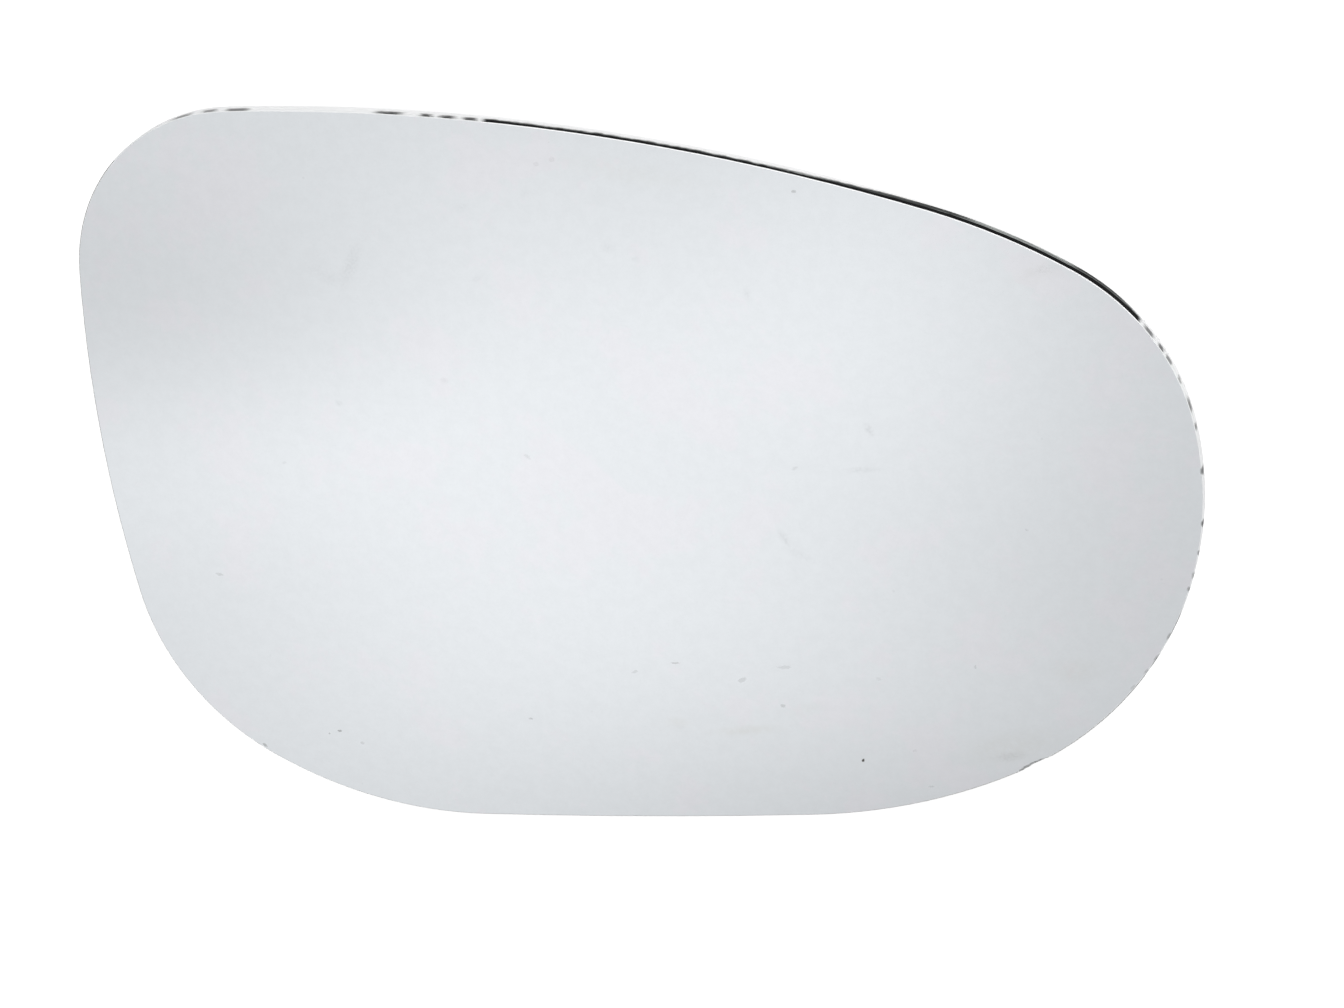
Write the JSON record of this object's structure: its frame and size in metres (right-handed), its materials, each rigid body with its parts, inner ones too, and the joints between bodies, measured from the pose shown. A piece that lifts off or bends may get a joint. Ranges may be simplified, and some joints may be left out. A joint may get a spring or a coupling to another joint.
{
  "type": "car door mirror glass",
  "caption": "Domed, silvered plate of a car door mirror with a freeform rounded outline and a ground edge; it is bonded or clipped to the holder in the mirror head.",
  "frame": {"origin": "on the surface that the glass rests on, under the centre of its outline's bounding box", "axes": "+Z out of the domed reflecting face, +X along the long side to the rounded end, +Y to the long top edge"},
  "size_m": [0.17, 0.1156, 0.0053],
  "materials": {
    "silvered_glass": "polished face silvered from behind, ground edge, dark paint on the back"
  },
  "bodies": {
    "root": {"mirror_glass": "silvered_glass"}
  },
  "joints": []
}
